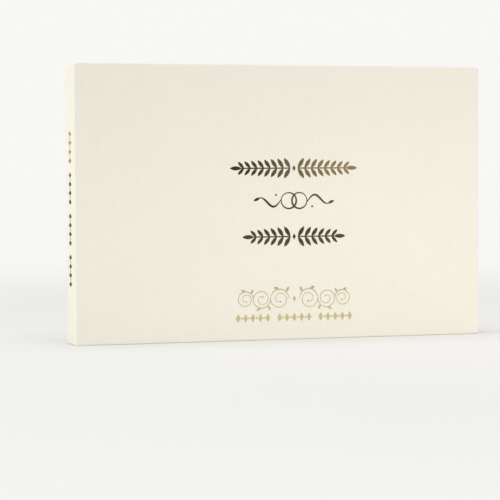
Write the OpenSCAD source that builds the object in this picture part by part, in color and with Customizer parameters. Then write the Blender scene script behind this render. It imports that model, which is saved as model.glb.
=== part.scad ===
// Landscape guest book: a sewn text block of ten sections in a cloth-covered hard case.
// It stands closed on its tail edge. X runs from the spine (-X) to the fore-edge (+X),
// Y runs through the thickness with the front cover at -Y, and Z runs from tail to head.
// The origin is the middle of the bottom of the closed book. Depths are measured inwards
// from the outer face of a cover, and the back of the book is the front mirrored in Y.

/* [Pages] */
// Width of a page, from its fold to its fore-edge
page_w = 216; // [190:1:240]
// Height of a page
page_h = 140; // [120:1:170]
// Thickness of one leaf of paper
leaf_t = 0.12; // [0.1:0.01:0.12]
// Distance from one sewn section to the next
section_pitch = 1.15; // [1.15:0.01:1.25]
// Thickness of the endpapers
endpaper_t = 0.15; // [0.12:0.01:0.15]

/* [Case] */
// Thickness of the cover boards
board_t = 2.3; // [2:0.1:3]
// Thickness of the spine board
spine_board_t = 2.4; // [2:0.1:2.6]
// Thickness of the covering cloth
cloth_t = 0.4; // [0.3:0.05:0.4]
// How far the boards reach past the pages at head and tail
end_square = 3; // [2.5:0.5:4]
// How far the case reaches past the pages at the fore-edge
fore_square = 5.1; // [4:0.1:6]
// Width of the cloth joint between the spine board and a cover board
joint_w = 6.5; // [6.5:0.5:8]
// Width of the cloth turned in over the edges of the boards
turn_in = 15; // [12:1:18]
// Radius of the outer corners at the fore-edge
corner_r = 1.2; // [0.8:0.1:1.6]

/* [Ornament] */
// Thickness of the stamped foil
foil_t = 0.05; // [0.03:0.01:0.08]
// Middle of the front ornaments, measured from the middle of the closed book
ornament_x = 6.4; // [0:0.2:10]
// Height of the upper leaf band
upper_band_z = 91.3; // [85:0.1:95]
// Height of the ring flourish
flourish_z = 74; // [70:0.1:78]
// Height of the lower leaf band
lower_band_z = 54.9; // [50:0.1:60]
// Height of the fine scroll
scroll_z = 21.8; // [20:0.1:26]
// Height of the row of diamonds
diamond_row_z = 11.9; // [10:0.1:13]
// Length of the row down the spine
spine_row_len = 81; // [60:1:90]

/* [Hidden] */

$fn = 48;
cut = 1;                 // how far a cutting shape reaches past what it cuts

// Sections: 8 leaves each, folded from 4 sheets that nest inside one another
sections = 10;
sheets_per_section = 4;
leaf_gap = 0.01;         // air between leaves
leaf_pitch = leaf_t + leaf_gap;
fold_r = sheets_per_section * leaf_pitch - leaf_gap / 2;
block_t = sections * section_pitch;
turning_root = 0.7;      // clear length between a turning leaf and the fold that holds it

// Depths inwards from the outer face of a cover
board_d = cloth_t + board_t;
turn_in_d = board_d + cloth_t;
mull_t = 0.2;
pastedown_d = turn_in_d + endpaper_t;
flyleaf_d = pastedown_d + 0.1;
block_d = flyleaf_d + endpaper_t + 0.05;

// The closed book
book_t = 2 * block_d + block_t;
book_h = page_h + 2 * end_square;

// Layers of the spine, from its outer face inwards: cloth, board, air, linings, thread, folds
spine_inner_s = cloth_t + spine_board_t;
lining_s = 4.9;
lining_t = 0.3;
mull_s = lining_s + lining_t;
thread_s = mull_s + mull_t + 0.25;
fold_s = 5.9;
book_w = fold_s + page_w + fore_square;

spine_x = -book_w / 2;
board_x = spine_x + spine_inner_s + joint_w;
joint_x = spine_x + spine_inner_s;
fore_x = book_w / 2;
page_fore_x = fore_x - fore_square;
fold_x = spine_x + fold_s + fold_r;
flyleaf_x = board_x + 1.2;
tail_z = end_square;
head_z = end_square + page_h;

// Window that the turned-in cloth leaves open on the inside of a cover
window_x = fore_x - cloth_t - turn_in;
window_z = [cloth_t + turn_in, book_h - cloth_t - turn_in];
mull_z = [window_z[0] + 1.6, window_z[1] - 1.6];
mull_flap_w = 20;

joint_recess = 0.15;     // how far the cloth sinks along the joint
hinge_gap = 0.05;        // air between the endpaper fold and the leaves that move

thread_r = 0.18;
stitch_pairs = 5;
stitch_len = 14;
headband_r = 0.9;
skirt_h = 12;

linen = "#ece8d8";
linen_inside = "#e6e1cf";
paper = "#f6f3ea";
endpaper = "#faf7ef";
greyboard = "#a9a294";
kraft = "#b08d5f";
mull_cloth = "#dcd8cc";
thread_white = "#f4f1e6";
foil_gold = "#6d5c39";

// ---------- helpers ----------

// Draws its children for the back of the book
module on_the_back() mirror([0, 1, 0]) children();

// Block between two X, two depths inwards from the front face, and two Z
module front_box(x, d, z)
    translate([x[0], d[0] - book_t / 2, z[0]])
        cube([x[1] - x[0], d[1] - d[0], z[1] - z[0]]);

// Slab of a 2D outline, drawn in X and Z, between two depths
module front_slab(d)
    translate([0, d[1] - book_t / 2, 0])
        rotate([90, 0, 0]) linear_extrude(d[1] - d[0]) children();

// Outline of a cover, with its two fore-edge corners rounded
module cover_outline(inset, x0 = board_x) {
    r = corner_r - inset;
    x1 = fore_x - inset;
    z0 = inset;
    z1 = book_h - inset;
    translate([x0, z0]) square([x1 - r - x0, z1 - z0]);
    translate([x0, z0 + r]) square([x1 - x0, z1 - z0 - 2 * r]);
    for (z = [z0 + r, z1 - r]) translate([x1 - r, z]) circle(r);
}

// ---------- covers ----------

module cover_board() front_slab([cloth_t, board_d]) cover_outline(cloth_t);

// One sheet of cloth wrapped over three edges of the board and turned in behind it
module cover_cloth() difference() {
    front_slab([0, turn_in_d]) cover_outline(0);
    front_slab([cloth_t, board_d]) cover_outline(cloth_t, board_x - cut);
    front_box([board_x - cut, window_x], [board_d - cut / 2, turn_in_d + cut], window_z);
}

module mull_flap()
    front_box([board_x, board_x + mull_flap_w], [board_d, board_d + mull_t], mull_z);

// Endpaper pasted down over the turned-in cloth, the mull flap and the bare board
module pastedown() {
    x0 = board_x + hinge_gap;
    flap_x = board_x + mull_flap_w + 0.2;
    low = [board_d, board_d + endpaper_t];
    middle = [board_d + mull_t, board_d + mull_t + endpaper_t];
    high = [turn_in_d, turn_in_d + endpaper_t];
    riser = [board_d, high[1]];
    front_box([x0, page_fore_x], high, [tail_z, window_z[0]]);
    front_box([x0, page_fore_x], high, [window_z[1], head_z]);
    front_box([window_x, page_fore_x], high, window_z);
    front_box([x0, flap_x], middle, window_z);
    front_box([flap_x, window_x], low, window_z);
    front_box([flap_x, flap_x + endpaper_t], [low[0], middle[1]], window_z);
    front_box([window_x - endpaper_t, window_x], riser, window_z);
    front_box([x0, window_x], riser, [window_z[0], window_z[0] + endpaper_t]);
    front_box([x0, window_x], riser, [window_z[1] - endpaper_t, window_z[1]]);
}

module front_board() color(greyboard) cover_board();
module back_board() color(greyboard) on_the_back() cover_board();
module front_cover_cloth() color(linen) cover_cloth();
module back_cover_cloth() color(linen) on_the_back() cover_cloth();
module front_pastedown() color(endpaper) pastedown();
module back_pastedown() color(endpaper) on_the_back() pastedown();
module front_mull_flap() color(mull_cloth) mull_flap();
module back_mull_flap() color(mull_cloth) on_the_back() mull_flap();

// ---------- spine ----------

module spine_board() color(greyboard)
    front_box([spine_x + cloth_t, joint_x], [cloth_t, book_t - cloth_t],
        [cloth_t, book_h - cloth_t]);

// Cloth over the outside and the four edges of the spine board, turned in at head and tail
module spine_cloth() color(linen) {
    difference() {
        front_box([spine_x, joint_x], [0, book_t], [0, book_h]);
        front_box([spine_x + cloth_t, joint_x + cut], [cloth_t, book_t - cloth_t],
            [cloth_t, book_h - cloth_t]);
    }
    for (z = [[0, window_z[0]], [window_z[1], book_h]])
        front_box([joint_x, joint_x + cloth_t], [1, book_t - 1], z);
}

module spine_kraft_lining() color(kraft)
    front_box([spine_x + lining_s, spine_x + mull_s], [block_d + 0.25, book_t - block_d - 0.25],
        [tail_z + skirt_h + 1, head_z - skirt_h - 1]);

module spine_mull() color(mull_cloth)
    front_box([spine_x + mull_s, spine_x + mull_s + mull_t], [block_d, book_t - block_d], mull_z);

// Rolled bead on the end of the folds, on a strip glued down the spine
module headband() {
    bead_z = book_h - tail_z + headband_r + 0.05;
    bead_x = fold_x - fold_r;
    difference() {
        union() {
            translate([bead_x, 0, bead_z]) rotate([90, 0, 0])
                cylinder(r = headband_r, h = block_t - 0.1, center = true);
            front_box([spine_x + lining_s, bead_x], [block_d + 0.05, book_t - block_d - 0.05],
                [bead_z - headband_r, bead_z]);
        }
        front_box([spine_x + mull_s, bead_x + headband_r], [0, book_t],
            [bead_z - 2 * headband_r, head_z + 0.05]);
    }
    front_box([spine_x + lining_s, spine_x + mull_s], [block_d + 0.05, book_t - block_d - 0.05],
        [head_z - skirt_h, bead_z - headband_r / 2]);
}

module headband_head() color("#efe9d6") headband();
module headband_tail() color("#efe9d6") translate([0, 0, book_h]) mirror([0, 0, 1]) headband();

function stitch_z(i) = tail_z + page_h * (i + 0.5) / stitch_pairs;

// Rows of thread that link the sections across the back of their folds
module sewing_thread() color(thread_white)
    for (i = [0 : stitch_pairs - 1], side = [-1, 1])
        translate([spine_x + thread_s, 0, stitch_z(i) + side * stitch_len / 2])
            rotate([90, 0, 0]) cylinder(r = thread_r, h = block_t - section_pitch, center = true);

// ---------- joints ----------

module joint_cloth() {
    outer = [joint_recess, joint_recess + cloth_t];
    front_box([joint_x, board_x], outer, [0, book_h]);
    for (z = [[0, window_z[0]], [window_z[1], book_h]])
        front_box([joint_x, board_x], [outer[1], outer[1] + cloth_t - 0.1], z);
}

module joint_mull() {
    front_box([spine_x + mull_s, spine_x + mull_s + mull_t], [board_d, block_d], mull_z);
    front_box([spine_x + mull_s, board_x], [board_d, board_d + mull_t], mull_z);
}

// The fold that joins the pasted-down half of an endpaper to its free half
module endpaper_fold() {
    outer_leg = board_d + mull_t;
    inner_leg = flyleaf_d;
    middle = (outer_leg + inner_leg + endpaper_t) / 2;
    r_out = middle - outer_leg;
    r_in = r_out - endpaper_t;
    bend_x = spine_x + fold_s + 0.7;
    front_box([bend_x, board_x], [outer_leg, outer_leg + endpaper_t], [tail_z, head_z]);
    front_box([bend_x, flyleaf_x - hinge_gap], [inner_leg, inner_leg + endpaper_t],
        [tail_z, head_z]);
    translate([bend_x, middle - book_t / 2, tail_z]) linear_extrude(page_h) difference() {
        circle(r_out);
        circle(r_in);
        translate([0, -r_out - cut]) square(2 * (r_out + cut));
    }
}

module front_joint_cloth() color(linen) joint_cloth();
module back_joint_cloth() color(linen) on_the_back() joint_cloth();
module front_joint_mull() color(mull_cloth) joint_mull();
module back_joint_mull() color(mull_cloth) on_the_back() joint_mull();
module front_endpaper_fold() color(endpaper) endpaper_fold();
module back_endpaper_fold() color(endpaper) on_the_back() endpaper_fold();

// ---------- text block ----------

module flyleaf()
    front_box([flyleaf_x, page_fore_x], [flyleaf_d, flyleaf_d + endpaper_t], [tail_z, head_z]);

// Outline seen from the head of sheet i of a section, from the outermost (0) to the innermost
module folded_sheet(i) {
    r_out = fold_r - i * leaf_pitch;
    r_in = r_out - leaf_t;
    length = page_fore_x - fold_x;
    difference() {
        union() {
            circle(r_out);
            translate([0, -r_out]) square([length, 2 * r_out]);
        }
        circle(r_in);
        translate([0, -r_in]) square([length + cut, 2 * r_in]);
    }
}

module place_section(n)
    translate([fold_x, (n - 0.5) * section_pitch - block_t / 2, tail_z])
        linear_extrude(page_h) children();

module section(n) for (i = [0 : sheets_per_section - 1]) place_section(n) folded_sheet(i);

// The first section without its four front leaves, which turn one by one
module opened_section() for (i = [0 : sheets_per_section - 1]) place_section(1) difference() {
    folded_sheet(i);
    translate([0, -2 * fold_r]) square([page_w + cut, 2 * fold_r]);
}

// Leaf n of the first section, counted from the front cover
module turning_leaf(n)
    translate([fold_x + turning_root,
        0.5 * section_pitch - block_t / 2 - (sheets_per_section - n) * leaf_pitch
            - leaf_gap / 2 - leaf_t, tail_z])
        cube([page_fore_x - fold_x - turning_root, leaf_t, page_h]);

// Thread showing in the middle fold of the opened section
module centre_stitches() for (i = [0 : stitch_pairs - 1])
    translate([fold_x + thread_r, 0.5 * section_pitch - block_t / 2 - thread_r - leaf_gap,
        stitch_z(i) - stitch_len / 2])
        cylinder(r = thread_r, h = stitch_len);

module front_flyleaf() color(endpaper) flyleaf();
module back_flyleaf() color(endpaper) on_the_back() flyleaf();
module section_01() color(paper) opened_section();
module section_02() color(paper) section(2);
module section_03() color(paper) section(3);
module section_04() color(paper) section(4);
module section_05() color(paper) section(5);
module section_06() color(paper) section(6);
module section_07() color(paper) section(7);
module section_08() color(paper) section(8);
module section_09() color(paper) section(9);
module section_10() color(paper) on_the_back() opened_section();
module front_centre_stitches() color(thread_white) centre_stitches();
module back_centre_stitches() color(thread_white) on_the_back() centre_stitches();
module page_leaf_01() color(paper) turning_leaf(1);
module page_leaf_02() color(paper) turning_leaf(2);
module page_leaf_03() color(paper) turning_leaf(3);
module page_leaf_04() color(paper) turning_leaf(4);
module page_leaf_77() color(paper) on_the_back() turning_leaf(4);
module page_leaf_78() color(paper) on_the_back() turning_leaf(3);
module page_leaf_79() color(paper) on_the_back() turning_leaf(2);
module page_leaf_80() color(paper) on_the_back() turning_leaf(1);

// ---------- foil ornaments ----------

// Pointed leaf of two arcs, from the origin along +X
module leaf_shape(length, width) {
    r = (length * length + width * width) / (4 * width);
    translate([length / 2, 0]) intersection() {
        translate([0, r - width / 2]) circle(r);
        translate([0, width / 2 - r]) circle(r);
    }
}

module diamond(w, h) polygon([[-w / 2, 0], [0, -h / 2], [w / 2, 0], [0, h / 2]]);

// Outline of a pen stroke along points p, half as wide as h at each of them
function stroke(p, h) = let (
        n = len(p),
        along = [for (i = [0 : n - 1]) p[min(i + 1, n - 1)] - p[max(i - 1, 0)]],
        side = [for (a = along) [-a[1], a[0]] / norm(a)]
    ) concat([for (i = [0 : n - 1]) p[i] + h[i] * side[i]],
        [for (i = [n - 1 : -1 : 0]) p[i] - h[i] * side[i]]);

// Half-width of a stroke that swells in its middle, at t from 0 to 1
function swell(t, thin, thick) = thin + (thick - thin) * sin(180 * t);

// Garland of two branches that part from a diamond in the middle
module leaf_band(half_len, pairs, leaf_len, leaf_w, stem_w) {
    step = (half_len - leaf_len) / pairs;
    diamond(1.9, 3.4);
    for (side = [0, 1]) mirror([side, 0]) {
        translate([2, -stem_w / 2]) square([half_len - leaf_len - 2, stem_w]);
        translate([half_len - leaf_len - 0.2, 0]) leaf_shape(leaf_len + 0.2, leaf_w);
        for (i = [0 : pairs - 1], up = [-1, 1]) {
            shrink = 1 - 0.28 * i / pairs;
            translate([2.2 + i * step, 0]) rotate(up * (58 - 14 * i / pairs))
                leaf_shape(leaf_len * shrink, leaf_w * shrink);
        }
    }
}

// Two linked rings between swelling pen strokes that end in a small leaf
module ring_flourish() {
    ring_r = 4.6;
    apart = 2.9;
    steps = 28;
    for (side = [-1, 1]) translate([side * apart, 0]) difference() {
        circle(ring_r);
        translate([side * 0.2, 0.1]) circle(ring_r - 0.75);
    }
    for (side = [0, 1]) rotate(180 * side) {
        curve = [for (i = [0 : steps]) let (t = i / steps)
            [7.3 + 12.2 * t, 3.1 * sin(300 * t - 20) * (1 - 0.35 * t) + 0.4]];
        polygon(stroke(curve, [for (i = [0 : steps]) swell(i / steps, 0.2, 0.6)]));
        translate(curve[steps - 1]) rotate(24) leaf_shape(4, 1.5);
        translate([10.2, -3.1]) circle(0.55);
    }
}

// Spiral that ends an arch of a scroll: from [r, 0] it winds in clockwise to a small dot
module spiral(r, turns, thin, thick) {
    steps = 40;
    half_way = 20;
    p = [for (i = [0 : steps]) let (t = i / steps, q = r * (1 - 0.72 * t), a = -360 * turns * t)
        [q * cos(a), q * sin(a)]];
    w = [for (i = [0 : steps]) thick + (thin - thick) * i / steps];
    for (part = [[0 : half_way], [half_way : steps]])
        polygon(stroke([for (i = part) p[i]], [for (i = part) w[i]]));
    translate(p[steps]) circle(0.1 * r);
}

// Distance from the middle of a scroll to where arch k of its stem starts
function arch_start(rs, k) = k == 0 ? 3 : arch_start(rs, k - 1) + 2 * rs[k - 1];

// Running scroll, mirrored about a small diamond. Each arch of its stem ends in a spiral, and the
// stem runs on from there with the opposite curve. rs are the radii of the arches
module scroll_band(rs, thin, thick) {
    diamond(1.8, 3.2);
    for (side = [0, 1], k = [0 : len(rs) - 1]) mirror([side, 0])
        translate([arch_start(rs, k) + rs[k], 0]) mirror([0, k % 2]) {
            r = rs[k];
            polygon(stroke([for (a = [0 : 12 : 180]) [-r * cos(a), r * sin(a)]],
                [for (a = [0 : 12 : 180]) swell(a / 180, thin, thick)]));
            spiral(r, 1.3, thin, thick * 0.8);
            translate([-0.7 * r, 0.72 * r]) rotate(118) leaf_shape(0.6 * r, 0.26 * r);
            translate([0.1 * r, r]) rotate(22) leaf_shape(0.6 * r, 0.26 * r);
        }
}

// Row of diamonds with a dot after each, and a wider gap after every group of them
module diamond_row(length, count, w, h, group) {
    gaps = ceil(count / group) - 1;
    pitch = length / (count - 1 + 0.6 * gaps);
    for (i = [0 : count - 1]) translate([(i + 0.6 * floor(i / group)) * pitch - length / 2, 0]) {
        diamond(w, h);
        if (i % group < group - 1) translate([pitch / 2, 0]) circle(w * 0.2);
    }
}

module on_front(z) translate([ornament_x, -book_t / 2, z])
    rotate([90, 0, 0]) linear_extrude(foil_t) children();

module front_foil_upper() color(foil_gold) {
    on_front(upper_band_z) leaf_band(35.9, 8, 6.4, 2.2, 0.7);
    on_front(flourish_z) ring_flourish();
    on_front(lower_band_z) leaf_band(29.1, 6, 6.4, 2.2, 0.7);
}

module front_foil_lower() color("#c3b27c") {
    on_front(scroll_z) scroll_band([5.2, 4.8, 4.2], 0.15, 0.28);
    on_front(diamond_row_z) diamond_row(63, 15, 2.6, 4.6, 5);
}

module spine_foil() color(foil_gold)
    translate([spine_x, 0, 30 + spine_row_len / 2]) rotate([0, -90, 0])
        linear_extrude(foil_t) diamond_row(spine_row_len - 3, 16, 3.1, 6.2, 4);

// ---------- drawing ----------

front_board();
front_cover_cloth();
front_foil_upper();
front_foil_lower();
front_pastedown();
front_mull_flap();
back_board();
back_cover_cloth();
back_pastedown();
back_mull_flap();
spine_board();
spine_cloth();
spine_foil();
spine_kraft_lining();
spine_mull();
headband_head();
headband_tail();
sewing_thread();
front_joint_cloth();
back_joint_cloth();
front_joint_mull();
back_joint_mull();
front_endpaper_fold();
back_endpaper_fold();
front_flyleaf();
back_flyleaf();
section_01();
section_02();
section_03();
section_04();
section_05();
section_06();
section_07();
section_08();
section_09();
section_10();
front_centre_stitches();
back_centre_stitches();
page_leaf_01();
page_leaf_02();
page_leaf_03();
page_leaf_04();
page_leaf_77();
page_leaf_78();
page_leaf_79();
page_leaf_80();
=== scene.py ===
import math
import random

import bmesh
import bpy
from mathutils import Matrix, Vector


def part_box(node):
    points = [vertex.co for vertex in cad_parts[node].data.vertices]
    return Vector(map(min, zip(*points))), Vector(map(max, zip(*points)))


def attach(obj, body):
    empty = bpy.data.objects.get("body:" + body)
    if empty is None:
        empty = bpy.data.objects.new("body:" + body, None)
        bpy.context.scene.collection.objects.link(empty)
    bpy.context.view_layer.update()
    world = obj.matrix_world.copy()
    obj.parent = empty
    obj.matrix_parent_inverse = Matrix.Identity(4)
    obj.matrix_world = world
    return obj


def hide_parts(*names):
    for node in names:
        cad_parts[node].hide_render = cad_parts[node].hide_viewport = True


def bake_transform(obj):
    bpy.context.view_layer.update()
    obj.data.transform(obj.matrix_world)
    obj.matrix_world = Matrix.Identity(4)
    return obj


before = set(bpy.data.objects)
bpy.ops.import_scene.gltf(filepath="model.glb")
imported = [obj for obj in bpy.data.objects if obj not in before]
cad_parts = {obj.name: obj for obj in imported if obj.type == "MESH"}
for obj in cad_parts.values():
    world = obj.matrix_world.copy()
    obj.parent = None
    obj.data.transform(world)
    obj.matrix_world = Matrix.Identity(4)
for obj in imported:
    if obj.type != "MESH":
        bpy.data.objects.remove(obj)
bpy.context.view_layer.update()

# A landscape guest book that stands closed on its tail edge. X runs from the spine to the
# fore-edge, Y from the front cover to the back cover, Z from tail to head. Lengths are in
# millimetres and become metres when a mesh is made. Only the stage and the lights are in metres.

MM = 0.001
UV_PER_MM = 0.01         # scale of the sheet coordinates
FRONT, BACK = -1, 1
SIDES = {"front": FRONT, "back": BACK}


# ---------- sizes, all read from the frame ----------

def box_mm(node):
    low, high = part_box(node)
    return low / MM, high / MM


spine_low, spine_high = box_mm("spine_cloth")
_, spine_board_high = box_mm("spine_board")
cover_low, cover_high = box_mm("front_cover_cloth")
board_low, board_high = box_mm("front_board")
pastedown_low, _ = box_mm("front_pastedown")
flyleaf_low, flyleaf_high = box_mm("front_flyleaf")
fold_low, fold_high = box_mm("front_endpaper_fold")
section_low, section_high = box_mm("section_05")
mull_flap_low, mull_flap_high = box_mm("front_mull_flap")
joint_mull_low, joint_mull_high = box_mm("front_joint_mull")
_, stitches_high = box_mm("front_centre_stitches")

HALF_T = spine_high.y                      # half the thickness of the closed book
HEIGHT = spine_high.z
SPINE_X = spine_low.x
JOINT_X = spine_board_high.x               # where the spine board ends and the joint begins
BOARD_X = cover_low.x                      # where the joint ends and the cover board begins
FORE_X = cover_high.x
CLOTH = board_low.y - cover_low.y          # thickness of the cloth
BOARD_D = board_high.y + HALF_T            # depth of the inner face of a cover board
TURN_IN_D = cover_high.y + HALF_T          # depth of the turned-in cloth's face
TURN_IN = CLOTH + 15                       # how far the turned-in cloth reaches over a board
TAIL_Z, HEAD_Z = section_low.z, section_high.z
PAGE_FORE_X = section_high.x
FOLD_R = (section_high.y - section_low.y) / 2
FOLD_X = section_low.x + FOLD_R            # the axis about which a section is folded
FLYLEAF_D = flyleaf_low.y + HALF_T
ENDPAPER = flyleaf_high.y - flyleaf_low.y  # thickness of the endpaper
BEND_X = fold_low.x + (fold_high.y - fold_low.y) / 2
LEAF_PITCH = (FOLD_R + 0.005) / 4
LEAF = LEAF_PITCH - 0.015                  # thickness of a leaf, with a little air to the next


def y_at(side, depth):
    """Y of a depth measured inwards from the outer face of the front or back cover."""
    return side * (HALF_T - depth)


# ---------- mesh helpers ----------

def make_piece(name, points, faces, material, uvs=None, sharp=40):
    """A mesh piece from points in millimetres. uvs are places on the flat sheet, in millimetres,
    which are X and Z where none are given. Edges sharper than the angle sharp stay sharp."""
    mesh = bpy.data.meshes.new(name)
    mesh.from_pydata([(x * MM, y * MM, z * MM) for x, y, z in points], [], faces)
    work = bmesh.new()
    work.from_mesh(mesh)
    bmesh.ops.recalc_face_normals(work, faces=work.faces)
    work.to_mesh(mesh)
    work.free()
    layer = mesh.uv_layers.new(name="sheet")
    places = uvs or [(x, z) for x, y, z in points]
    for loop in mesh.loops:
        u, v = places[loop.vertex_index]
        layer.data[loop.index].uv = (u * UV_PER_MM, v * UV_PER_MM)
    mesh.shade_smooth()
    mesh.set_sharp_from_angle(angle=math.radians(sharp))
    piece = bpy.data.objects.new(name, mesh)
    bpy.context.scene.collection.objects.link(piece)
    mesh.materials.append(material)
    return piece


def loop_faces(loops, closed=False):
    """Quads between neighbouring loops, which are lists of point numbers of one length. closed
    joins the end of each loop to its start."""
    faces = []
    for a, b in zip(loops, loops[1:]):
        for i in range(len(a) if closed else len(a) - 1):
            j = (i + 1) % len(a)
            faces.append((a[i], a[j], b[j], b[i]))
    return faces


def arc(cx, cy, r, start, end, steps):
    """Points on an arc, in degrees, from start to end."""
    turns = [math.radians(start + (end - start) * i / steps) for i in range(steps + 1)]
    return [(cx + r * math.cos(t), cy + r * math.sin(t)) for t in turns]


# ---------- materials ----------

class Shader:
    """A small helper that builds a node material one node at a time."""

    def __init__(self, name, roughness, specular=0.3, metallic=0.0):
        self.material = bpy.data.materials.new(name)
        self.material.use_nodes = True
        self.tree = self.material.node_tree
        self.bsdf = self.tree.nodes["Principled BSDF"]
        self.bsdf.inputs["Roughness"].default_value = roughness
        self.bsdf.inputs["Specular IOR Level"].default_value = specular
        self.bsdf.inputs["Metallic"].default_value = metallic

    def node(self, kind, inputs=None, **settings):
        """Adds a node. inputs holds a value, or a socket to link, for each of its inputs."""
        made = self.tree.nodes.new(kind)
        for key, value in settings.items():
            setattr(made, key, value)
        for key, value in (inputs or {}).items():
            if isinstance(value, bpy.types.NodeSocket):
                self.tree.links.new(value, made.inputs[key])
            else:
                made.inputs[key].default_value = value
        return made

    def math(self, operation, a, b=0.0):
        return self.node("ShaderNodeMath", {0: a, 1: b}, operation=operation).outputs[0]

    def noise(self, vector, scale, detail=2.0, roughness=0.5):
        made = self.node("ShaderNodeTexNoise", {"Vector": vector, "Scale": scale, "Detail": detail,
                                                "Roughness": roughness})
        return made.outputs["Fac"]

    def scaled(self, vector, x, y, z=1.0):
        made = self.node("ShaderNodeMapping", {"Vector": vector, "Scale": (x, y, z)})
        return made.outputs["Vector"]

    def ramp(self, value, *stops):
        made = self.node("ShaderNodeValToRGB", {"Fac": value})
        elements = made.color_ramp.elements
        while len(elements) < len(stops):
            elements.new(0.5)
        for element, (position, color) in zip(elements, stops):
            element.position = position
            element.color = (*color, 1.0)
        return made.outputs["Color"]

    def mix(self, factor, a, b):
        made = self.node("ShaderNodeMix", {"Factor": factor}, data_type="RGBA")
        for key, value in (("A", a), ("B", b)):
            socket = next(s for s in made.inputs if s.name == key and s.type == "RGBA")
            if isinstance(value, bpy.types.NodeSocket):
                self.tree.links.new(value, socket)
            else:
                socket.default_value = (*value, 1.0)
        return next(s for s in made.outputs if s.type == "RGBA")

    def bump(self, height, strength, distance_mm):
        made = self.node("ShaderNodeBump", {"Height": height, "Strength": strength,
                                            "Distance": distance_mm * MM})
        self.tree.links.new(made.outputs["Normal"], self.bsdf.inputs["Normal"])

    def connect(self, socket, name):
        self.tree.links.new(socket, self.bsdf.inputs[name])

    def sheet_mm(self):
        """Coordinates along the sheet in millimetres."""
        uv = self.node("ShaderNodeUVMap", uv_map="sheet").outputs["UV"]
        return self.scaled(uv, 1 / UV_PER_MM, 1 / UV_PER_MM)

    def object_mm(self):
        """Coordinates in the object's own space in millimetres."""
        place = self.node("ShaderNodeTexCoord").outputs["Object"]
        return self.scaled(place, 1 / MM, 1 / MM, 1 / MM)

    def weave(self, vector, pitch_mm, wander=1.5):
        """Height of a plain weave, whose threads are pitch_mm apart. wander is how far they stray,
        in radians of the wave that they make."""
        drift = self.noise(self.scaled(vector, 0.35, 0.35), 1.0, 3.0)
        drift = self.math("MULTIPLY", self.math("SUBTRACT", drift, 0.5), wander)
        parts = self.node("ShaderNodeSeparateXYZ", {0: vector}).outputs
        turns = math.pi / pitch_mm
        across = self.math("ADD", self.math("MULTIPLY", parts[0], turns), drift)
        along = self.math("SUBTRACT", self.math("MULTIPLY", parts[1], turns), drift)
        return self.math("MULTIPLY", self.math("SINE", across), self.math("SINE", along))


def linen_material():
    """Ivory book cloth: a fine plain weave with slubs, and a faint mottling of the dye."""
    s = Shader("ivory_linen", roughness=0.86, specular=0.18)
    sheet = s.sheet_mm()
    weave = s.weave(sheet, 0.36)
    warp_slub = s.noise(s.scaled(sheet, 2.6, 0.09), 1.0, 2.0)
    weft_slub = s.noise(s.scaled(sheet, 0.09, 2.6), 1.0, 2.0)
    slubs = s.math("ADD", warp_slub, weft_slub)
    mottle = s.noise(s.scaled(sheet, 0.03, 0.03), 1.0, 4.0)
    base = s.ramp(mottle, (0.25, (0.790, 0.762, 0.668)), (0.75, (0.810, 0.782, 0.688)))
    thread = s.ramp(s.math("MULTIPLY", slubs, 0.5), (0.38, (0.768, 0.740, 0.646)),
                    (0.62, (0.834, 0.806, 0.714)))
    s.connect(s.mix(0.45, base, thread), "Base Color")
    height = s.math("ADD", s.math("MULTIPLY", weave, 0.5), s.math("MULTIPLY", slubs, 0.9))
    s.bump(height, 0.35, 0.05)
    s.bsdf.inputs["Sheen Weight"].default_value = 0.12
    s.bsdf.inputs["Sheen Roughness"].default_value = 0.5
    return s.material


def foil_material():
    """Hot-stamped gold foil, faintly uneven from the cloth under it."""
    s = Shader("gold_foil", roughness=0.12, specular=0.5, metallic=1.0)
    place = s.object_mm()
    grain = s.noise(place, 2.2, 3.0)
    s.connect(s.ramp(grain, (0.3, (0.66, 0.56, 0.29)), (0.7, (0.72, 0.62, 0.36))), "Base Color")
    s.bump(s.noise(place, 3.2, 2.0), 0.08, 0.03)
    return s.material


def paper_material(name, light, shade, relief):
    """Uncoated paper with a soft fibre grain. relief is whether the grain can be felt."""
    s = Shader(name, roughness=0.8, specular=0.25)
    sheet = s.sheet_mm()
    fibre = s.noise(sheet, 0.9, 5.0, 0.65)
    s.connect(s.ramp(fibre, (0.3, shade), (0.7, light)), "Base Color")
    if relief:
        s.bump(s.noise(sheet, 6.0, 3.0), 0.15, 0.02)
    return s.material


def board_material():
    """Grey bookbinder's board: pressed fibres in two greys."""
    s = Shader("greyboard", roughness=0.9, specular=0.2)
    fibre = s.noise(s.object_mm(), 3.0, 6.0, 0.7)
    s.connect(s.ramp(fibre, (0.35, (0.22, 0.20, 0.17)), (0.65, (0.36, 0.33, 0.29))), "Base Color")
    s.bump(fibre, 0.4, 0.05)
    return s.material


def kraft_material():
    """Brown kraft paper, its fibres drawn out along the spine."""
    s = Shader("kraft_paper", roughness=0.82, specular=0.2)
    place = s.object_mm()
    fibre = s.noise(s.scaled(place, 1.0, 1.0, 0.25), 2.5, 5.0, 0.6)
    s.connect(s.ramp(fibre, (0.3, (0.34, 0.21, 0.11)), (0.7, (0.46, 0.30, 0.17))), "Base Color")
    s.bump(fibre, 0.3, 0.03)
    return s.material


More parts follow.
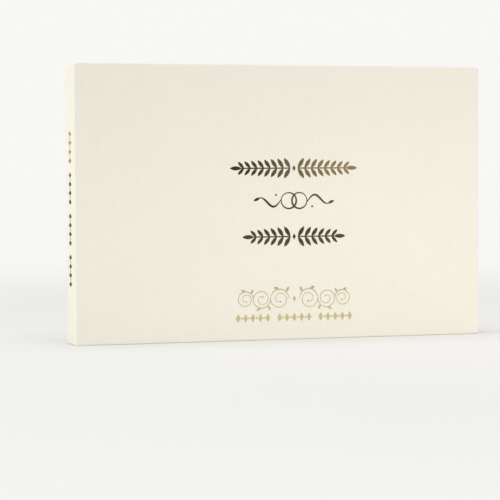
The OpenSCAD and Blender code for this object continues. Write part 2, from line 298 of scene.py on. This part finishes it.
def gauze_material():
    """Open-weave mull in its glue."""
    s = Shader("mull_gauze", roughness=0.75, specular=0.3)
    place = s.object_mm()
    parts = s.node("ShaderNodeSeparateXYZ", {0: place}).outputs
    turns = 2 * math.pi / 1.2
    rows = s.math("SINE", s.math("MULTIPLY", parts[2], turns))
    lines = s.math("SINE", s.math("MULTIPLY", s.math("ADD", parts[0], parts[1]), turns))
    height = s.math("MAXIMUM", rows, lines)
    s.connect(s.ramp(height, (0.1, (0.52, 0.50, 0.44)), (0.9, (0.74, 0.72, 0.66))), "Base Color")
    s.bump(height, 0.6, 0.08)
    return s.material


def thread_material():
    """Linen thread with its twist."""
    s = Shader("linen_thread", roughness=0.7, specular=0.3)
    place = s.object_mm()
    twist = s.node("ShaderNodeTexWave", {"Vector": place, "Scale": 0.9, "Distortion": 0.5},
                   wave_type="BANDS", bands_direction="DIAGONAL").outputs["Fac"]
    s.connect(s.ramp(twist, (0.2, (0.62, 0.59, 0.52)), (0.8, (0.84, 0.81, 0.74))), "Base Color")
    s.bump(twist, 0.6, 0.08)
    return s.material


def headband_material():
    """Silk wound in pairs of ivory and champagne threads."""
    s = Shader("headband_silk", roughness=0.45, specular=0.5)
    sheet = s.sheet_mm()
    parts = s.node("ShaderNodeSeparateXYZ", {0: sheet}).outputs
    stripe = s.math("SINE", s.math("MULTIPLY", parts[0], 2 * math.pi / 1.3))
    strand = s.noise(s.scaled(sheet, 9.0, 1.0), 1.0, 3.0)
    colour = s.ramp(stripe, (0.45, (0.56, 0.45, 0.27)), (0.55, (0.86, 0.82, 0.70)))
    s.connect(colour, "Base Color")
    s.bump(strand, 0.4, 0.04)
    s.bsdf.inputs["Sheen Weight"].default_value = 0.3
    return s.material


LINEN = linen_material()
FOIL = foil_material()
ENDPAPER_MATERIAL = paper_material("endpaper", (0.87, 0.84, 0.77), (0.82, 0.79, 0.71), relief=True)
PAGE_MATERIAL = paper_material("page_paper", (0.84, 0.81, 0.73), (0.79, 0.76, 0.68), relief=False)
GREYBOARD = board_material()
KRAFT = kraft_material()
GAUZE = gauze_material()
THREAD = thread_material()
SILK = headband_material()

CAD_MATERIALS = {
    "front_board": GREYBOARD, "back_board": GREYBOARD, "spine_board": GREYBOARD,
    "front_foil_upper": FOIL, "front_foil_lower": FOIL, "spine_foil": FOIL,
    "front_mull_flap": GAUZE, "back_mull_flap": GAUZE, "spine_mull": GAUZE,
    "spine_kraft_lining": KRAFT, "sewing_thread": THREAD,
    "front_centre_stitches": THREAD, "back_centre_stitches": THREAD,
}


def paint_cad_nodes():
    """Gives the CAD nodes that stay their materials."""
    for name, material in CAD_MATERIALS.items():
        for material_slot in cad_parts[name].material_slots:
            material_slot.material = material


# ---------- case ----------

EDGE_R = 0.75            # rounding where the cloth turns over an edge of a board
CORNER_R = 1.2           # rounding of the fore-edge corners in the plane of the cover
CORNER_STEPS = 8
MITRE_R = 0.35           # width of the mitred corner seam on the inside
MITRE_DIP = 0.2          # depth of that seam
CUT_EDGE = 0.1           # bevel along the cut edge of the turned-in cloth
NEAR_EDGE = 2            # what lies this near to an edge of a cover is counted as on it


def cover_outline(inset):
    """Points in X and Z round three edges of a cover, from the joint at the tail to the joint at
    the head."""
    r = max(CORNER_R - inset, MITRE_R)
    right, low, high = FORE_X - inset, inset, HEIGHT - inset
    return ([(BOARD_X, low)]
            + arc(right - r, low + r, r, -90, 0, CORNER_STEPS)
            + arc(right - r, high - r, r, 0, 90, CORNER_STEPS)
            + [(BOARD_X, high)])


def cover_cloth(name, side):
    """One sheet wrapped over three edges of the board, with mitred turn-ins on the inside."""
    quarter = [math.radians(90 * i / 4) for i in range(5)]
    outer = [(EDGE_R * (1 - math.sin(t)), EDGE_R * (1 - math.cos(t))) for t in quarter]
    outer += [(EDGE_R * (1 - math.cos(t)), TURN_IN_D - EDGE_R * (1 - math.sin(t))) for t in quarter]
    outer += [(TURN_IN * share, TURN_IN_D) for share in (0.25, 0.5, 0.75)]
    outer += [(TURN_IN - CUT_EDGE, TURN_IN_D), (TURN_IN, TURN_IN_D - CUT_EDGE)]
    inner = [(TURN_IN, BOARD_D), (CLOTH, BOARD_D), (CLOTH, CLOTH)]
    profile = outer + inner
    front_outline = cover_outline(EDGE_R)
    ends = (0, len(front_outline) - 1)
    fore_edge = (1 + CORNER_STEPS, 2 + CORNER_STEPS)
    corner_middles = (1 + CORNER_STEPS // 2, 2 + CORNER_STEPS + CORNER_STEPS // 2)

    def away(j):
        """The way, in X and Z, in which the flat sheet runs on past point j of the outline."""
        if j in fore_edge:
            return Vector((1.0, 0.0))
        fx, fz = front_outline[j]
        way = Vector((0.0 if j in ends else max(fx - (FORE_X - NEAR_EDGE), 0),
                      (fz > HEIGHT - NEAR_EDGE) - (fz < NEAR_EDGE)))
        return way.normalized() if way.length else way

    points, uvs, loops = [], [], []
    travelled = 0.0
    for k, (inset, depth) in enumerate(profile):
        if k:
            travelled += math.dist(profile[k - 1], (inset, depth))
        on_turn_in = inset > NEAR_EDGE and k < len(outer)
        loop = []
        for j, (x, z) in enumerate(cover_outline(inset)):
            mitre = MITRE_DIP if on_turn_in and j in corner_middles else 0.0
            loop.append(len(points))
            points.append((x, y_at(side, depth - mitre), z))
            fx, fz = front_outline[j]
            way = away(j)
            uvs.append((fx + way.x * travelled, fz + way.y * travelled))
        loops.append(loop)
    hinge_edge = [loop[0] for loop in loops] + [loop[-1] for loop in reversed(loops)]
    faces = loop_faces(loops) + [tuple(loops[0]), tuple(loops[-1]), tuple(hinge_edge)]
    return make_piece(name, points, faces, LINEN, uvs, sharp=50)


def spine_cloth():
    """The CAD channel with its outer edges rounded, as cloth turns over a board."""
    round_over = 0.9 * MM
    work = bmesh.new()
    work.from_mesh(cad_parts["spine_cloth"].data)
    bmesh.ops.remove_doubles(work, verts=work.verts, dist=0.001 * MM)
    bmesh.ops.dissolve_limit(work, angle_limit=math.radians(1), verts=work.verts, edges=work.edges)
    near = 0.01 * MM

    def outer_faces(v):
        """Whether the point lies on the back of the spine, on a side and on an end."""
        return (abs(v.co.x - SPINE_X * MM) < near, abs(abs(v.co.y) - HALF_T * MM) < near,
                min(abs(v.co.z), abs(v.co.z - HEIGHT * MM)) < near)

    edges = []
    for edge in work.edges:
        a, b = (outer_faces(v) for v in edge.verts)
        if sum(p and q for p, q in zip(a, b)) >= 2:
            edges.append(edge)
    bmesh.ops.bevel(work, geom=edges, offset=round_over, segments=4, profile=0.5, affect="EDGES")
    bmesh.ops.recalc_face_normals(work, faces=work.faces)
    mesh = bpy.data.meshes.new("spine_cloth_wrapped")
    work.to_mesh(mesh)
    work.free()
    layer = mesh.uv_layers.new(name="sheet")
    for face in mesh.polygons:
        for index in face.loop_indices:
            x, y, z = mesh.vertices[mesh.loops[index].vertex_index].co / MM
            if abs(face.normal.z) > 0.8:
                u, v = x, y
            elif abs(face.normal.x) > abs(face.normal.y):
                u, v = SPINE_X + y, z
            else:
                u, v = x, z
            layer.data[index].uv = (u * UV_PER_MM, v * UV_PER_MM)
    mesh.shade_smooth()
    mesh.set_sharp_from_angle(angle=math.radians(50))
    mesh.materials.append(LINEN)
    piece = bpy.data.objects.new("spine_cloth_wrapped", mesh)
    bpy.context.scene.collection.objects.link(piece)
    return piece


JOINT_DIP = 0.16         # how far the cloth sinks along the joint
JOINT_LAP = 1.2          # how far it runs on under the cloth of the spine
LAP_DIP = 0.12           # how deep it lies at the end of that lap
CLIMB = 2.2              # length over which its turned-in layer climbs the end of the cover board
BOARD_GAP = 0.02         # how far short of the cover board that climb and the mull end
FOLD_GAP = 0.06          # air between the top of that climb and the fold of the endpaper


def joint_cloth(name, side):
    """Cloth between the spine board and a cover board. Where it is turned in at head and tail, the
    inner layer climbs the end of the cover board and hides it."""
    steps = 18
    xs = [JOINT_X - JOINT_LAP, JOINT_X - JOINT_LAP / 2]
    xs += [JOINT_X + (BOARD_X - JOINT_X) * i / steps for i in range(steps + 1)]
    r = CLOTH * 0.9

    def dip(x):
        if x < JOINT_X:
            return LAP_DIP * (JOINT_X - x) / JOINT_LAP
        share = (x - JOINT_X) / (BOARD_X - JOINT_X)
        return JOINT_DIP * math.sin(math.pi * share) ** 2

    def climb(x):
        top = fold_low.y + HALF_T - FOLD_GAP - 2 * r
        return top * smooth((min(x, BOARD_X - BOARD_GAP) - BOARD_X + CLIMB) / CLIMB)

    # The outline at the head, from the outer face round the fold to the inner layer. Each point has
    # its Z, its depth, and how much of the climb it takes part in.
    head = [(z, depth, max(turned, 0) / 90) for turned, (depth, z)
            in zip(range(-90, 91, 30), arc(r, HEIGHT - r, r, 180, 0, 6))]
    head += [(HEIGHT - TURN_IN, 2 * r, 1), (HEIGHT - TURN_IN, 2 * r - CLOTH, 1),
             (HEIGHT - 2 * r, 2 * r - CLOTH, 1), (HEIGHT - 2 * r, CLOTH, 0)]
    profile = head + [(HEIGHT - z, depth, share) for z, depth, share in reversed(head)]
    points, uvs, loops = [], [], []
    for x in xs:
        loop = []
        for z, depth, share in profile:
            loop.append(len(points))
            points.append((x, y_at(side, dip(x) + depth + share * climb(x)), z))
            uvs.append((x, z))
        loops.append(loop)
    faces = loop_faces(loops, closed=True) + [tuple(loops[0]), tuple(loops[-1])]
    return make_piece(name, points, faces, LINEN, uvs, sharp=50)


def sheet(name, xs, zs, depth_of, thickness, side, material, slot_name):
    """A thin closed sheet over a grid in X and Z, its near face at depth_of(x, z)."""
    points = []
    for layer in (0.0, thickness):
        for x in xs:
            for z in zs:
                points.append((x, y_at(side, depth_of(x, z) + layer), z))
    rows, columns = len(xs), len(zs)

    def at(layer, i, j):
        return layer * rows * columns + i * columns + j

    faces = []
    for i in range(rows - 1):
        for j in range(columns - 1):
            for layer in (0, 1):
                faces.append((at(layer, i, j), at(layer, i + 1, j), at(layer, i + 1, j + 1),
                              at(layer, i, j + 1)))
    for i in range(rows - 1):
        for j in (0, columns - 1):
            faces.append((at(0, i, j), at(0, i + 1, j), at(1, i + 1, j), at(1, i, j)))
    for j in range(columns - 1):
        for i in (0, rows - 1):
            faces.append((at(0, i, j), at(0, i, j + 1), at(1, i, j + 1), at(1, i, j)))
    return make_piece(name, points, faces, material, sharp=60)


def smooth(t):
    """Eases from 0 to 1 while t goes from 0 to 1."""
    t = min(max(t, 0.0), 1.0)
    return t * t * (3 - 2 * t)


def pastedown(name, side):
    """Endpaper pasted over the turn-ins, the mull flap and the board, whose edges show through."""
    slope = 1.6              # width over which it passes from one level to the next
    flap_x = mull_flap_high.x
    inner_x = FORE_X - TURN_IN
    low_z, high_z = TURN_IN, HEIGHT - TURN_IN
    flap = mull_flap_high.y - mull_flap_low.y

    def depth(x, z):
        over_flap = flap * (1 - smooth((x - flap_x) / slope + 0.5))
        edge = max((x - inner_x) / slope + 1, (low_z - z) / slope + 1, (z - high_z) / slope + 1)
        base = BOARD_D + over_flap
        return base + (TURN_IN_D - base) * smooth(edge)

    def steps_about(place, count=6):
        return [place + slope * (i / count - 1) for i in range(count + 2)]

    xs = [pastedown_low.x, flap_x - slope] + steps_about(flap_x + slope / 2) + [0.0]
    xs += steps_about(inner_x) + [PAGE_FORE_X]
    zs = [TAIL_Z] + [2 * low_z - z for z in reversed(steps_about(low_z))]
    zs += [HEIGHT / 2] + steps_about(high_z) + [HEAD_Z]
    return sheet(name, sorted(set(xs)), sorted(set(zs)), depth, ENDPAPER, side,
                 ENDPAPER_MATERIAL, "endpaper")


# ---------- paper ----------

def strip_piece(name, centre_line, thickness, z_low, z_high, material, rows=2):
    """A closed strip of paper of even thickness along a centre line drawn in X and Y."""
    count = len(centre_line)
    left, right = [], []
    for i, (x, y) in enumerate(centre_line):
        x0, y0 = centre_line[max(i - 1, 0)]
        x1, y1 = centre_line[min(i + 1, count - 1)]
        long = math.hypot(x1 - x0, y1 - y0)
        nx, ny = -(y1 - y0) / long * thickness / 2, (x1 - x0) / long * thickness / 2
        left.append((x + nx, y + ny))
        right.append((x - nx, y - ny))
    travelled = [0.0]
    for a, b in zip(centre_line, centre_line[1:]):
        travelled.append(travelled[-1] + math.dist(a, b))
    points, uvs, loops = [], [], []
    for r in range(rows):
        z = z_low + (z_high - z_low) * r / (rows - 1)
        loop = []
        for ring, lengths in ((left, travelled), (right[::-1], travelled[::-1])):
            for (x, y), u in zip(ring, lengths):
                loop.append(len(points))
                points.append((x, y, z))
                uvs.append((u, z))
        loops.append(loop)
    faces = loop_faces(loops, closed=True)
    for loop in (loops[0], loops[-1]):
        for i in range(count - 1):
            faces.append((loop[i], loop[i + 1], loop[2 * count - 2 - i], loop[2 * count - 1 - i]))
    return make_piece(name, points, faces, material, uvs, sharp=50)


def join(name, pieces):
    """Joins pieces into the first, which keeps its material, slot and sheet coordinates."""
    bpy.ops.object.select_all(action="DESELECT")
    for piece in pieces:
        piece.select_set(True)
    bpy.context.view_layer.objects.active = pieces[0]
    bpy.ops.object.join()
    pieces[0].name = name
    pieces[0].data.name = name
    return pieces[0]


PAGE_BEND = 30           # how far from its fold the points along a page lie close together
FLYLEAF_BEND = 9         # the same for the flyleaf, which turns further
FLYLEAF_START = BEND_X + 0.8               # where the flyleaf leaves its fold
ENDPAPER_LAP = 0.6       # how far the endpaper's fold runs on over the cover board
STITCH_GAP = 0.02        # air between the stitches in a section and the leaves that turn there
TRIM = 0.12              # how unevenly the fore-edge is trimmed
LEAF_TRIM = 0.01         # step of the same for the leaves that turn one by one


def page_xs(start, bend, fore_x):
    """X of the points along a page: close together near its fold, and few further on."""
    bent, flat = 34, 6       # the steps in each
    return ([start + bend * i / bent for i in range(bent + 1)]
            + [start + bend + (fore_x - start - bend) * i / flat for i in range(1, flat + 1)])


def folded_section(name, y, opened=0):
    """Four nested folded sheets. opened is the side, FRONT or BACK, whose leaves are left out."""
    trim = random.Random(name)
    made = []
    for i in range(4):
        r = (4 - i - 0.5) * LEAF_PITCH
        front_x, back_x = (PAGE_FORE_X - trim.uniform(0.0, TRIM) for _ in range(2))
        line = [(FOLD_X - r * math.sin(math.radians(a)), y - r * math.cos(math.radians(a)))
                for a in range(0, 181, 15)]
        if opened != FRONT:
            line = [(x, y - r) for x in reversed(page_xs(FOLD_X, PAGE_BEND, front_x))] + line[1:]
        if opened != BACK:
            line = line[:-1] + [(x, y + r) for x in page_xs(FOLD_X, PAGE_BEND, back_x)]
        made.append(strip_piece(f"{name}_{i}", line, LEAF, TAIL_Z, HEAD_Z, PAGE_MATERIAL,
                                rows=3))
    return join(name, made)


def node_middle_y(node):
    low, high = box_mm(node)
    return (low.y + high.y) / 2


def blend_from_fold(piece):
    """Bakes the piece's place into its mesh."""
    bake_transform(piece)


def text_block():
    """The ten sections, and the leaves of the first and the last that turn one by one."""
    for n in range(1, 11):
        node = f"section_{n:02d}"
        opened = {1: FRONT, 10: BACK}.get(n, 0)
        piece = folded_section(f"{node}_sheets", node_middle_y(node), opened)
        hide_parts(node)
        blend_from_fold(piece)
    for n in (*range(1, 5), *range(77, 81)):
        node = f"page_leaf_{n:02d}"
        y = node_middle_y(node)
        fore_x = PAGE_FORE_X - LEAF_TRIM * (n % 7)
        line = [(x, y) for x in page_xs(stitches_high.x + STITCH_GAP, PAGE_BEND, fore_x)]
        piece = strip_piece(f"{node}_sheet", line, LEAF, TAIL_Z, HEAD_Z, PAGE_MATERIAL,
                            rows=3)
        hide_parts(node)
        blend_from_fold(piece)


def endpapers():
    """On each side, the flyleaf, and the fold that joins it to the pastedown."""
    for word, side in SIDES.items():
        middle = (fold_low.y + fold_high.y) / 2 + HALF_T
        bend_r = (fold_high.y - fold_low.y - ENDPAPER) / 2
        leaf_y = y_at(side, FLYLEAF_D + ENDPAPER / 2)
        xs = [BEND_X] + page_xs(FLYLEAF_START, FLYLEAF_BEND, PAGE_FORE_X)
        leaf = strip_piece(f"{word}_flyleaf_sheet", [(x, leaf_y) for x in xs], ENDPAPER, TAIL_Z,
                           HEAD_Z, ENDPAPER_MATERIAL, rows=3)
        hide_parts(f"{word}_flyleaf")
        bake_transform(leaf)
        steps = 14
        fold_end = BOARD_X + ENDPAPER_LAP
        line = [(fold_end - (fold_end - BEND_X) * i / steps, y_at(side, middle - bend_r))
                for i in range(steps)]
        line += [(BEND_X - bend_r * math.sin(math.radians(a)),
                  y_at(side, middle - bend_r * math.cos(math.radians(a))))
                 for a in range(0, 181, 20)]
        fold = strip_piece(f"{word}_endpaper_fold_sheet", line, ENDPAPER, TAIL_Z, HEAD_Z,
                           ENDPAPER_MATERIAL)
        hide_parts(f"{word}_endpaper_fold")
        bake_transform(fold)


def joint_mull(name, side):
    """Gauze from the back of the folds, round the shoulder and along the joint to the board."""
    thickness = mull_flap_high.y - mull_flap_low.y
    x = joint_mull_low.x + thickness / 2
    depth = joint_mull_low.y + HALF_T + thickness / 2
    turn_r = 0.35            # radius of the turn at the shoulder
    line = [(x, y_at(side, joint_mull_high.y + HALF_T))]
    line += [(x + turn_r - turn_r * math.cos(math.radians(a)),
              y_at(side, depth + turn_r - turn_r * math.sin(math.radians(a))))
             for a in range(0, 91, 18)]
    steps = 16
    start, end = x + turn_r, BOARD_X - BOARD_GAP
    line += [(start + (end - start) * i / steps, y_at(side, depth)) for i in range(1, steps + 1)]
    return strip_piece(name, line, thickness, joint_mull_low.z, joint_mull_high.z, GAUZE)


# ---------- headbands ----------

CORD_R = 0.84            # radius of the wound cord
CORD_INSET = 0.9         # from its middle to the faces of its node's box that it touches
WINDING = 0.325          # width of one turn of the silk
WINDING_BULGE = 0.07     # how far a turn stands out in its middle, as a share of the radius
TAPE_START = 0.62        # from the middle of the cord to the start of the tape
TAPE_END = 13            # and to its free edge


def headband(name, node, up):
    """A cord wound with silk, on the tape that is glued down the spine. up is 1 at the head and
    -1 at the tail."""
    low, high = box_mm(node)
    centre_x = high.x - CORD_INSET
    centre_z = high.z - CORD_INSET if up > 0 else low.z + CORD_INSET
    around, along = 18, 220
    half = high.y
    points, uvs, loops = [], [], []
    for i in range(along + 1):
        y = -half + 2 * half * i / along
        bulge = 1 + WINDING_BULGE * abs(math.sin(math.pi * y / WINDING))
        tip = min(1.0, 0.55 + (half - abs(y)) / 0.5)       # the cord narrows at its two ends
        loop = []
        for k in range(around):
            a = 2 * math.pi * k / around
            loop.append(len(points))
            points.append((centre_x + CORD_R * bulge * tip * math.cos(a), y,
                           centre_z + CORD_R * bulge * tip * math.sin(a)))
            uvs.append((y, CORD_R * a))
        loops.append(loop)
    faces = loop_faces(loops, closed=True) + [tuple(loops[0]), tuple(loops[-1])]
    bead = make_piece(name, points, faces, SILK, uvs, sharp=80)
    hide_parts(node)
    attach(bead, "spine")
    tape = headband_tape(f"{name}_strip", low.x, half, centre_z - up * TAPE_START,
                         centre_z - up * TAPE_END, up)
    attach(tape, "spine")


def headband_tape(name, x, half, z_bead, z_free, up):
    """The woven tape under a headband, glued to the back of the folds, with a frayed free edge."""
    thickness, edge = 0.3, 0.08
    threads, rib_height, frayed = 36, 0.03, 0.5
    fray = random.Random(name)
    points, loops = [], []
    for i in range(threads + 1):
        y = -half + 2 * half * i / threads
        end = z_free + up * fray.uniform(0.0, frayed)
        rib = rib_height * (i % 2)
        face_x = x + thickness - rib
        section = [(x + edge, z_bead), (x, z_bead - up * edge),
                   (x, end + up * edge), (x + edge, end),
                   (face_x - edge, end), (face_x, end + up * edge),
                   (face_x, z_bead - up * edge), (face_x - edge, z_bead)]
        loops.append(list(range(len(points), len(points) + len(section))))
        points += [(px, y, pz) for px, pz in section]
    faces = loop_faces(loops, closed=True) + [tuple(loops[0]), tuple(loops[-1])]
    return make_piece(name, points, faces, GAUZE, sharp=60)


# ---------- stage, in metres ----------

STUDIO_WHITE = (1.0, 1.0, 0.985)
FLOOR_R, BACKDROP_R = 30.0, 20.0
GLOW = 0.42              # how much brighter a card is where it glows


def floor():
    """A wide disc, soft white near the book, that fades to the bright tone of the backdrop: further
    out the floor glows, painted light in place of lamp light.
    """
    work = bmesh.new()
    bmesh.ops.create_circle(work, cap_ends=True, segments=96, radius=FLOOR_R)
    mesh = bpy.data.meshes.new("floor")
    work.to_mesh(mesh)
    work.free()
    s = Shader("pale_floor", roughness=0.9, specular=0.1)
    place = s.node("ShaderNodeTexCoord").outputs["Object"]
    far = s.node("ShaderNodeVectorMath", {0: place}, operation="LENGTH").outputs["Value"]
    # Painted light: the share of the floor that glows instead of being lit grows with distance from
    # the book.
    painted_glow_share = s.node("ShaderNodeMapRange", {"Value": far, "From Min": 0.12, "From Max": 0.95},
                  interpolation_type="SMOOTHERSTEP").outputs["Result"]
    s.connect(s.mix(painted_glow_share, (0.80, 0.797, 0.797), (0.0, 0.0, 0.0)), "Base Color")
    s.bsdf.inputs["Emission Color"].default_value = (*STUDIO_WHITE, 1.0)
    s.connect(s.math("MULTIPLY", painted_glow_share, 0.90), "Emission Strength")
    mesh.materials.append(s.material)
    ground = bpy.data.objects.new("floor", mesh)
    bpy.context.scene.collection.objects.link(ground)


def backdrop():
    """A plain bright dome behind everything. It is only seen, and lights nothing."""
    work = bmesh.new()
    bmesh.ops.create_uvsphere(work, u_segments=48, v_segments=24, radius=BACKDROP_R)
    mesh = bpy.data.meshes.new("backdrop")
    work.to_mesh(mesh)
    work.free()
    s = Shader("plain_backdrop", roughness=1.0, specular=0.0)
    s.bsdf.inputs["Base Color"].default_value = (0.0, 0.0, 0.0, 1.0)
    s.bsdf.inputs["Emission Color"].default_value = (*STUDIO_WHITE, 1.0)
    s.bsdf.inputs["Emission Strength"].default_value = 0.935
    mesh.materials.append(s.material)
    dome = bpy.data.objects.new("backdrop", mesh)
    bpy.context.scene.collection.objects.link(dome)
    dome.visible_diffuse = False
    dome.visible_glossy = False
    dome.visible_shadow = False
    dome.visible_transmission = False


def reflected_card(name, x, y, z, tone, glow):
    """An upright dark card that only reflections see, so that the foil has something to mirror: it
    glows dimly, brighter past one corner, a painted reflection that lights nothing.
    x and z are its edges. glow is the corner, in X and Z, from which it brightens."""
    mesh = bpy.data.meshes.new(name)
    mesh.from_pydata([(x[0], y, z[0]), (x[1], y, z[0]), (x[1], y, z[1]), (x[0], y, z[1])], [],
                     [(0, 1, 2, 3)])
    s = Shader(name, roughness=1.0, specular=0.0)
    s.bsdf.inputs["Base Color"].default_value = (0.0, 0.0, 0.0, 1.0)
    s.bsdf.inputs["Emission Color"].default_value = (1.0, 0.91, 0.80, 1.0)

    def rise(value, start, width):
        made = s.node("ShaderNodeMapRange",
                      {"Value": value, "From Min": start, "From Max": start + width},
                      interpolation_type="SMOOTHSTEP")
        return made.outputs["Result"]

    place = s.node("ShaderNodeTexCoord").outputs["Object"]
    parts = s.node("ShaderNodeSeparateXYZ", {0: place}).outputs
    both = s.math("MULTIPLY", rise(parts[0], glow[0], 0.09), rise(parts[2], glow[1], 0.03))
    # Painted reflection: a dim glow, brighter past the glow corner, that only the foil mirrors.
    s.connect(s.math("ADD", s.math("MULTIPLY", both, GLOW), tone), "Emission Strength")
    mesh.materials.append(s.material)
    card = bpy.data.objects.new(name, mesh)
    bpy.context.scene.collection.objects.link(card)
    card.visible_camera = False
    card.visible_diffuse = False
    card.visible_shadow = False
    card.visible_transmission = False


def place_light(name, data, location, target):
    """Aims a light at target. Neither the camera nor a reflection sees the light itself."""
    light = bpy.data.objects.new(name, data)
    bpy.context.scene.collection.objects.link(light)
    light.location = location
    aim = Vector(target) - Vector(location)
    light.rotation_euler = aim.to_track_quat("-Z", "Y").to_euler()
    light.visible_glossy = False
    light.visible_camera = False


def softbox(name, location, target, size, watts, colour=(1.0, 1.0, 1.0)):
    data = bpy.data.lights.new(name, "AREA")
    data.color = colour
    data.shape = "RECTANGLE"
    data.size, data.size_y = size
    data.energy = watts
    place_light(name, data, location, target)


def soft_spot(name, location, target, angle, watts, colour):
    data = bpy.data.lights.new(name, "SPOT")
    data.color = colour
    data.spot_size = math.radians(angle)
    data.spot_blend = 1.0
    data.shadow_soft_size = 0.1
    data.energy = watts
    place_light(name, data, location, target)


def lights():
    world = bpy.data.worlds.new("studio")
    world.use_nodes = True
    background = world.node_tree.nodes["Background"]
    background.inputs["Color"].default_value = (*STUDIO_WHITE, 1.0)
    background.inputs["Strength"].default_value = 0.72
    bpy.context.scene.world = world
    softbox("top_softbox", (0.0, -0.1, 1.6), (0, 0, 0), size=(1.4, 1.4), watts=9.9)
    softbox("low_softbox", (0.0, -0.9, 0.12), (0, 0, 0.02), size=(1.4, 0.2), watts=1.12)
    softbox("spine_softbox", (-1.2, 0.1, 0.15), (-0.11, 0, 0.05), size=(0.4, 0.4), watts=4.5,
            colour=(0.97, 1.0, 0.88))
    soft_spot("cover_spot", (0.3, -1.0, 0.25), (0.09, -0.01, 0.0), angle=26, watts=6.3,
              colour=(1.0, 0.855, 0.87))
    soft_spot("left_tail_spot", (-0.35, -0.95, 0.06), (-0.11, -0.01, 0.0), angle=18, watts=5.0,
              colour=(0.94, 0.98, 1.0))
    soft_spot("right_tail_spot", (0.35, -1.0, 0.08), (0.11, -0.01, 0.0), angle=18, watts=4.0,
              colour=(0.96, 1.0, 0.88))


def camera():
    """The view of the front cover from a little to the spine side, nearly level, in millimetres."""
    azimuth, pitch, roll = (math.radians(a) for a in (18.3, 2.4, -0.2))
    distance = 1161
    target = Vector((-18.4, -HALF_T, 48.1))
    forward = Vector((math.sin(azimuth) * math.cos(pitch), math.cos(azimuth) * math.cos(pitch),
                      -math.sin(pitch)))
    right = Vector((math.cos(azimuth), -math.sin(azimuth), 0.0))
    up = right.cross(forward)
    data = bpy.data.cameras.new("camera")
    data.lens = 158
    data.sensor_width = 36.0
    data.clip_start, data.clip_end = 0.05, 100.0
    made = bpy.data.objects.new("camera", data)
    bpy.context.scene.collection.objects.link(made)
    turn = Matrix((right, up, -forward)).transposed() @ Matrix.Rotation(roll, 3, "Z")
    made.matrix_world = Matrix.Translation((target - forward * distance) * MM) @ turn.to_4x4()
    bpy.context.scene.camera = made


# ---------- the whole book ----------

def case():
    """The two covers with their joints, and the spine between them."""
    for word, side in SIDES.items():
        cover = f"{word}_cover"
        cloth = cover_cloth(f"{word}_cover_cloth_wrapped", side)
        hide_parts(f"{word}_cover_cloth")
        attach(cloth, cover)
        paste = pastedown(f"{word}_pastedown_sheet", side)
        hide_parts(f"{word}_pastedown")
        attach(paste, cover)
        joint = joint_cloth(f"{word}_joint_cloth_strip", side)
        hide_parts(f"{word}_joint_cloth")
        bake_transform(joint)
        mull = joint_mull(f"{word}_joint_mull_strip", side)
        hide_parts(f"{word}_joint_mull")
        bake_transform(mull)
    spine = spine_cloth()
    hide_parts("spine_cloth")
    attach(spine, "spine")


camera()
paint_cad_nodes()
case()
text_block()
endpapers()
headband("headband_head_silk", "headband_head", 1)
headband("headband_tail_silk", "headband_tail", -1)
floor()
backdrop()
reflected_card("front_card", (-0.15, 0.7), -0.6, (0.003, 0.6), 0.05, glow=(0.17, 0.055))
reflected_card("spine_card", (-0.6, 0.0), 0.3, (0.0, 0.4), 0.19, glow=(-0.7, 0.075))
lights()
bpy.context.scene.view_settings.view_transform = "Standard"
